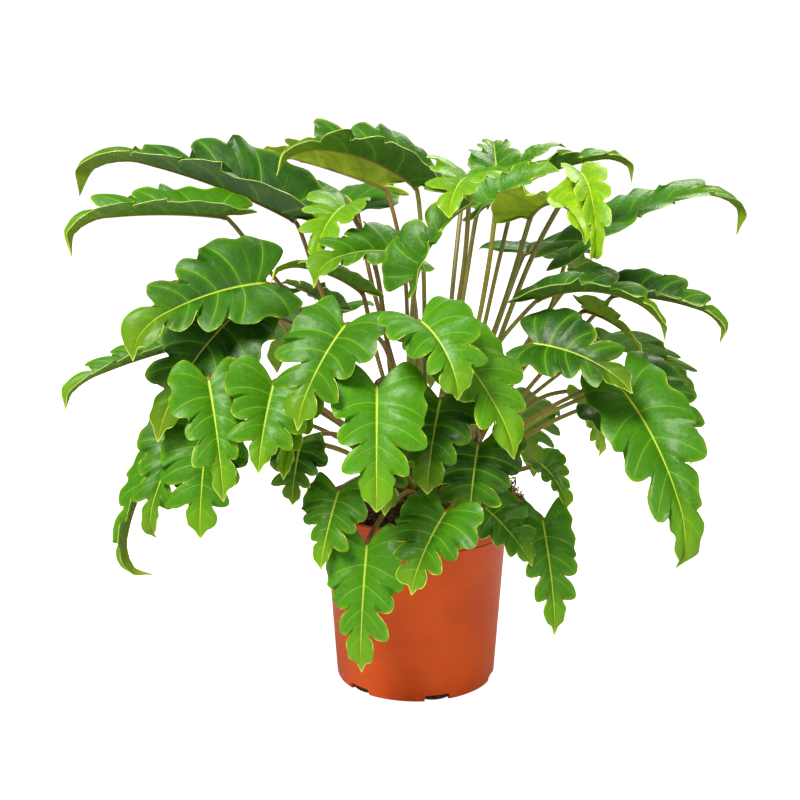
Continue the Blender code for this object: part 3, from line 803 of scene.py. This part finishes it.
def make_pot():
    """The moulded pot: a tapering body, a stepped collar, a rolled lip and a notched foot."""
    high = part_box("pot")[1]
    height, rim = high[2], high[0]
    ledge = height - COLLAR_HEIGHT
    body, foot = rim - BODY_INSET, rim - FOOT_INSET
    waist = foot + (body - foot) * 0.5
    inner = body - WALL
    profile = [
        (foot - WALL - 4 * MM, WALL),
        (foot - WALL - 1 * MM, WALL + 1 * MM),
        (foot - WALL, WALL + 4 * MM),
        (inner, ledge - 3 * MM),
        (rim - 3.7 * MM - WALL, ledge + 1 * MM),
        (rim - 0.8 * MM - WALL, height - 1.5 * MM),
        (rim - 0.4 * MM - WALL, height - 0.3 * MM),
        (rim - WALL + 0.4 * MM, height),
        (rim - 1.0 * MM, height),
        (rim - 0.3 * MM, height - 0.3 * MM),
        (rim, height - 1.1 * MM),
        (rim, height - 3.2 * MM),
        (rim - 0.4 * MM, height - 3.8 * MM),
        (rim - 1.1 * MM, height - 4.2 * MM),
        (rim - 1.3 * MM, height - 6 * MM),
        (rim - 3.3 * MM, ledge + 2.6 * MM),
        (rim - 2.7 * MM, ledge + 2.0 * MM),
        (rim - 2.7 * MM, ledge + 0.8 * MM),
        (rim - 3.1 * MM, ledge + 0.1 * MM),
        (rim - 4.9 * MM, ledge - 0.2 * MM),
        (body - 0.1 * MM, ledge - 1.2 * MM),
        (waist, ledge * 0.5),
        (foot + 0.3 * MM, 4 * MM),
        (foot, 2.4 * MM),
        (foot - 0.7 * MM, 1.0 * MM),
        (foot - 2.0 * MM, 0.2 * MM),
        (foot - 3.2 * MM, 0.0),
    ]
    pot = lathe("nursery_pot", profile, POT_STEPS, pot_material())
    for angle in notch_angles():
        deselect()
        bpy.ops.mesh.primitive_cube_add(size=1)
        block = bpy.context.active_object
        block.scale = (12 * MM, 25 * MM, 14 * MM)
        block.location = ((foot - 4 * MM) * math.cos(angle), (foot - 4 * MM) * math.sin(angle), 0)
        block.rotation_euler = (0, 0, angle)
        bpy.ops.object.transform_apply(location=True, rotation=True, scale=True)
        bevel = block.modifiers.new("rounding", "BEVEL")
        bevel.width = 2 * MM
        bevel.segments = 3
        apply_modifiers(block)
        cut = pot.modifiers.new("notch", "BOOLEAN")
        cut.operation = "DIFFERENCE"
        cut.object = block
        cut.solver = "EXACT"
        apply_modifiers(pot)
        bpy.data.objects.remove(block)
    return settle_piece(pot, "pot")


def copy_of(model, skin):
    """A copy of a modelled shape, with a mesh and a skin of its own."""
    made = model.copy()
    made.data = model.data.copy()
    made.data.materials.clear()
    made.data.materials.append(skin)
    bpy.context.scene.collection.objects.link(made)
    return made


def strand(model, places, thick, skin):
    """A fine root or fibre along these places, thinning at both ends."""
    grid, row, round_it = model
    made = copy_of(grid, skin)
    count = len(places)
    ends = np.sin(np.linspace(0.15, math.pi - 0.15, count)) ** 0.5
    ups = np.repeat(np.array([[0.13, 0.31, 0.94]]), count, 0)
    roll_tube(made, row, round_it, places, thick * ends, ups, np.full(count, 1.0))
    return made


def ball(fineness):
    deselect()
    bpy.ops.mesh.primitive_ico_sphere_add(subdivisions=fineness, radius=1)
    return bpy.context.active_object


def lump(model, place, turn, size, skin):
    """A rounded crumb, chip or knob."""
    made = copy_of(model, skin)
    made.data.transform(Matrix.LocRotScale(Vector(place), Euler(turn), Vector(size)))
    return made


def join(pieces, name, models):
    """Makes these pieces one, and takes away the shapes that they were copied from."""
    deselect()
    for piece in pieces:
        piece.select_set(True)
    bpy.context.view_layer.objects.active = pieces[0]
    bpy.ops.object.join()
    pieces[0].name = name
    for model in models:
        bpy.data.objects.remove(model)
    return close_tube(pieces[0])


def wandering(chance, start, way, length, count, wildness):
    """Places along a strand that sets out one way and wanders off it."""
    places, at, way = [np.asarray(start, float)], np.asarray(start, float), unit(way)
    for _ in range(count - 1):
        way = unit(way + chance.normal(0, wildness, 3))
        at = at + way * length / (count - 1)
        places.append(at)
    return np.array(places)


def shoulder(share):
    """How far the soil falls at this share of its reach, towards the pot's wall."""
    return SHOULDER_DROP * min(1, max(0, (share - 0.75) / 0.2))


def make_soil():
    """The root ball's top: crumbled peat with chips and fine roots on it, as far as the pot's wall."""
    low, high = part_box("soil")
    chance = np.random.default_rng(5)
    top, reach = high[2], high[0]
    level = top - SHOULDER_DROP
    profile = [(2 * MM, top - 1 * MM)]
    for share in np.linspace(0.05, 1.0, 34):
        profile.append((reach * share - 0.6 * MM, top - 1 * MM - shoulder(share)))
    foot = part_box("pot")[1][0] - FOOT_INSET - WALL
    profile += [(reach - 1.5 * MM, level - 14 * MM), (foot - 0.5 * MM, 5 * MM), (foot - 6 * MM, low[2])]
    peat = soil_material()
    soil = lathe("root_ball", profile, SOIL_STEPS, peat)
    mesh = soil.data
    co = np.array([v.co for v in mesh.vertices])
    upper = (co[:, 2] > level - 4 * MM) & (np.hypot(co[:, 0], co[:, 1]) < reach - 2 * MM)
    crumbs = 0.0
    for size in (15, 6, 3):
        wave = chance.uniform(0, 6.28, 4)
        x, y = co[:, 0] / (size * MM), co[:, 1] / (size * MM)
        bent = np.sin(x * 2.1 + wave[0] + np.sin(y * 1.7 + wave[1]))
        crumbs = crumbs + size * 0.09 * bent * np.sin(y * 2.3 + wave[2])
    co[:, 2] += np.where(upper, crumbs * MM, 0)
    mesh.vertices.foreach_set("co", co.astype(np.float32).ravel())
    dark = fibre_material("dead root fibre", "2A1C10", "7A5C38")
    chip, notch_shade_lump, fibre = ball(1), ball(3), tube_grid("fibre", FIBRE_ROWS, 5)
    pieces = [soil]
    for _ in range(240):
        angle, r = chance.uniform(0, 2 * math.pi), reach * math.sqrt(chance.uniform(0.3, 0.93))
        rise = top - shoulder(r / reach) + chance.uniform(-1, 1.5) * MM
        place = (r * math.cos(angle), r * math.sin(angle), rise)
        skin = peat if chance.random() < 0.7 else dark
        size = chance.uniform(0.8, 3.4, 3) * MM
        pieces.append(lump(chip, place, chance.uniform(0, 3, 3), size, skin))
    # Dark peat lumps inside the pot's notches, where the shadow under the pot falls: painted shade.
    for angle in notch_angles():
        r = foot + WALL - 5.2 * MM
        place = (r * math.cos(angle), r * math.sin(angle), 3.7 * MM)
        pieces.append(lump(notch_shade_lump, place, (0, 0, angle), (3.6 * MM, 13 * MM, 3.6 * MM), peat))
    for _ in range(110):
        angle, r = chance.uniform(0, 2 * math.pi), reach * math.sqrt(chance.uniform(0.3, 0.85))
        start = (r * math.cos(angle), r * math.sin(angle), top - 3 * MM + chance.uniform(0, 4) * MM)
        way = (chance.normal(), chance.normal(), chance.uniform(-0.1, 0.35))
        places = wandering(chance, start, way, chance.uniform(10, 32) * MM, FIBRE_ROWS, 0.35)
        places[:, 2] = np.maximum(places[:, 2], top - 8 * MM)
        inside = np.hypot(places[:, 0], places[:, 1])
        places[:, :2] *= np.minimum(1, (reach - 2 * MM) / inside)[:, None]
        pieces.append(strand(fibre, places, chance.uniform(0.25, 0.6) * MM, dark))
    return settle_piece(join(pieces, "root_ball", [chip, notch_shade_lump, fibre[0]]), "soil")


def make_crown():
    """The stump: a knobbly mound of old leaf bases, ringed with dry sheaths and brown fibres."""
    low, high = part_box("crown")
    chance = np.random.default_rng(8)
    centre = np.array([(low[0] + high[0]) / 2, (low[1] + high[1]) / 2])
    reach, top = (high[0] - low[0]) / 2, high[2]
    bark = fibre_material("fibrous stem base", "2E2012", "6B5230")
    sheath = fibre_material("dry papery sheath", "5A3E20", "A07C4C")
    knob, fibre = ball(2), tube_grid("fibre", FIBRE_ROWS, 6)
    pieces = []
    for k in range(46):
        r, angle = (reach - 7 * MM) * math.sqrt((k + 0.5) / 46), k * GOLDEN_TURN
        place = centre + r * np.array([math.cos(angle), math.sin(angle)])
        rise = 5 * MM * (1 - (r / reach) ** 2)
        spot = (place[0], place[1], top - 12 * MM + rise + chance.uniform(-1, 1) * MM)
        size = (chance.uniform(6, 8) * MM, chance.uniform(6, 8) * MM, chance.uniform(10, 12) * MM)
        pieces.append(lump(knob, spot, chance.uniform(-0.4, 0.4, 3), size, bark))
    for k in range(60):
        r, angle = (reach - 2 * MM) * math.sqrt(chance.uniform(0.35, 1)), chance.uniform(0, 2 * math.pi)
        out = np.array([math.cos(angle), math.sin(angle)])
        start = [*(centre + out * r), top - 12 * MM]
        lean = chance.uniform(0.05, 0.5)
        way = (*(out * lean), 1)
        places = wandering(chance, start, way, chance.uniform(16, 34) * MM, FIBRE_ROWS, 0.12)
        skin = sheath if k % 3 == 0 else bark
        pieces.append(strand(fibre, places, chance.uniform(0.6, 1.5) * MM, skin))
    for _ in range(70):
        angle = chance.uniform(0, 2 * math.pi)
        out = np.array([math.cos(angle), math.sin(angle)])
        start = [*(centre + out * reach * chance.uniform(0.8, 1.0)), top - 10 * MM]
        way = (*(out * 0.6), 0.5)
        places = wandering(chance, start, way, chance.uniform(14, 34) * MM, FIBRE_ROWS, 0.35)
        pieces.append(strand(fibre, places, chance.uniform(0.25, 0.5) * MM, sheath))
    return settle_piece(join(pieces, "stem_base", [knob, fibre[0]]), "crown")


def make_coir_clump():
    """A tuft of tan coir and old roots that stands up at the pot's rim, on the right."""
    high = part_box("soil")[1]
    chance = np.random.default_rng(3)
    middle = np.array([high[0] + 4 * MM, -6 * MM, high[2] + 11 * MM])
    tan = fibre_material("tan coir", "6A4826", "D4AE7C")
    dark = fibre_material("old root", "24170C", "6A4A2A")
    knob, fibre = ball(2), tube_grid("fibre", FIBRE_ROWS, 5)
    pieces = []
    for _ in range(18):
        place = middle + chance.normal(0, 1, 3) * [4 * MM, 6 * MM, 6 * MM] - [2 * MM, 0, 3 * MM]
        size = chance.uniform(3.5, 6.5, 3) * MM
        pieces.append(lump(knob, place, chance.uniform(0, 3, 3), size, dark))
    for k in range(240):
        start = middle + chance.normal(0, 1, 3) * [5 * MM, 7 * MM, 6.5 * MM] - [2 * MM, 0, 2 * MM]
        way = chance.normal(0, 1, 3) * [0.5, 1, 0.7] + [0.1, 0, 0.1]
        places = wandering(chance, start, way, chance.uniform(10, 22) * MM, FIBRE_ROWS, 0.6)
        places[:, 0] = np.minimum(places[:, 0], high[0] + 17 * MM)
        places[:, 2] = np.maximum(places[:, 2], high[2] - 8 * MM)
        skin = tan if k % 5 < 3 else dark
        pieces.append(strand(fibre, places, chance.uniform(0.5, 1.0) * MM, skin))
    clump = join(pieces, "coir_clump", [knob, fibre[0]])
    choose(clump)
    bpy.ops.object.shade_smooth_by_angle(angle=COIR_CREASE)
    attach(clump, "root")
    return clump


# ---------------------------------------------------------------- studio


def make_studio():
    """White paper under the pot and white air round it, a high key light from the left, and a weaker fill."""
    deselect()
    bpy.ops.mesh.primitive_plane_add(size=30, location=(0, 0, 0))
    floor = bpy.context.active_object
    floor.name = "studio_floor"
    paper, tree, shader = new_material("white studio paper", Roughness=0.9, Specular_IOR_Level=0.1)
    shader.inputs["Base Color"].default_value = srgb("E4E4E4")
    shader.inputs["Emission Color"].default_value = (1, 1, 1, 1)
    seen = node(tree, "ShaderNodeLightPath")["Is Camera Ray"]
    glow = node(tree, RANGE, [seen, 0.0, 1.0, 0.1, 0.95], interpolation_type="SMOOTHSTEP")[0]
    tree.links.new(glow, shader.inputs["Emission Strength"])
    floor.data.materials.append(paper)
    world = bpy.data.worlds.new("studio air")
    bpy.context.scene.world = world
    world.use_nodes = True
    tree = world.node_tree
    seen = node(tree, "ShaderNodeLightPath")["Is Camera Ray"]
    glow = node(tree, RANGE, [seen, 0.0, 1.0, 0.2, 1.0], interpolation_type="SMOOTHSTEP")[0]
    tree.links.new(glow, tree.nodes["Background"].inputs["Strength"])
    tree.nodes["Background"].inputs["Color"].default_value = (1, 1, 1, 1)
    for name, place, size, power in (
        ("key", (-0.9, -1.5, 2.4), 0.9, 102),
        ("fill", (1.8, -1.6, 1.3), 1.2, 13),
        ("back", (0.7, 1.7, 2.2), 1.2, 42),
    ):
        data = bpy.data.lights.new(name, "AREA")
        data.size = size
        data.energy = power
        data.color = (1.0, 0.975, 0.9)
        lamp = bpy.data.objects.new(name, data)
        bpy.context.scene.collection.objects.link(lamp)
        lamp.location = place
        aim = Vector((0, 0, 0.35)) - lamp.location
        lamp.rotation_euler = aim.to_track_quat("-Z", "Y").to_euler()


def make_camera():
    data = bpy.data.cameras.new("camera")
    data.sensor_width = 36
    data.lens = CAMERA_LENS
    camera = bpy.data.objects.new("camera", data)
    bpy.context.scene.collection.objects.link(camera)
    camera.location = CAMERA_PLACE
    camera.rotation_euler = (math.radians(90 - CAMERA_DIP), 0, 0)
    bpy.context.scene.camera = camera


def main():
    bpy.context.scene.view_settings.view_transform = "Standard"
    make_camera()
    make_studio()
    make_pot()
    make_soil()
    make_crown()
    make_coir_clump()
    make_leaves()


main()
